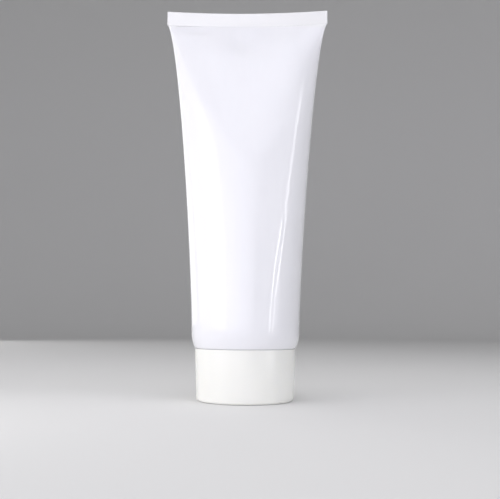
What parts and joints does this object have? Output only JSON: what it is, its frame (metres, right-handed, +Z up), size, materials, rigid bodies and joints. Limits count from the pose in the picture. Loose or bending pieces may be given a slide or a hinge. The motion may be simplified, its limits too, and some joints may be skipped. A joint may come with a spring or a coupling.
{
  "type": "cosmetic squeeze tube",
  "caption": "Soft squeeze tube with a flat heat-sealed tail, standing on its tapered screw cap, which unscrews from a short neck with a round outlet.",
  "frame": {"origin": "centre of the cap's flat end, which the tube stands on", "axes": "+Z up along the tube's axis towards the seal, X along the flat seal, -Y the front"},
  "size_m": [0.0778, 0.05, 0.1863],
  "materials": {
    "cap_plastic": "satin",
    "liner_foam": "matte",
    "head_plastic": "satin",
    "sleeve_plastic": "gloss"
  },
  "bodies": {
    "cap": {"screw_cap": "cap_plastic"},
    "liner": {"cap_liner": "liner_foam"},
    "tube": {"tube_sleeve": "sleeve_plastic", "shoulder_and_neck": "head_plastic"}
  },
  "joints": [
    {"name": "unscrew", "type": "hinge", "parent": "cap", "child": "liner", "pos_m": [0, 0, 0.0035], "axis": [0, 0, 1], "range_deg": [0, 2400]},
    {"name": "lift_off", "type": "slide", "parent": "liner", "child": "tube", "axis": [0, 0, 1], "range_m": [0, 0.02]}
  ],
  "couplings": [
    {"joint": "lift_off", "follows": "unscrew", "m_per_rad": 0.00047746}
  ]
}
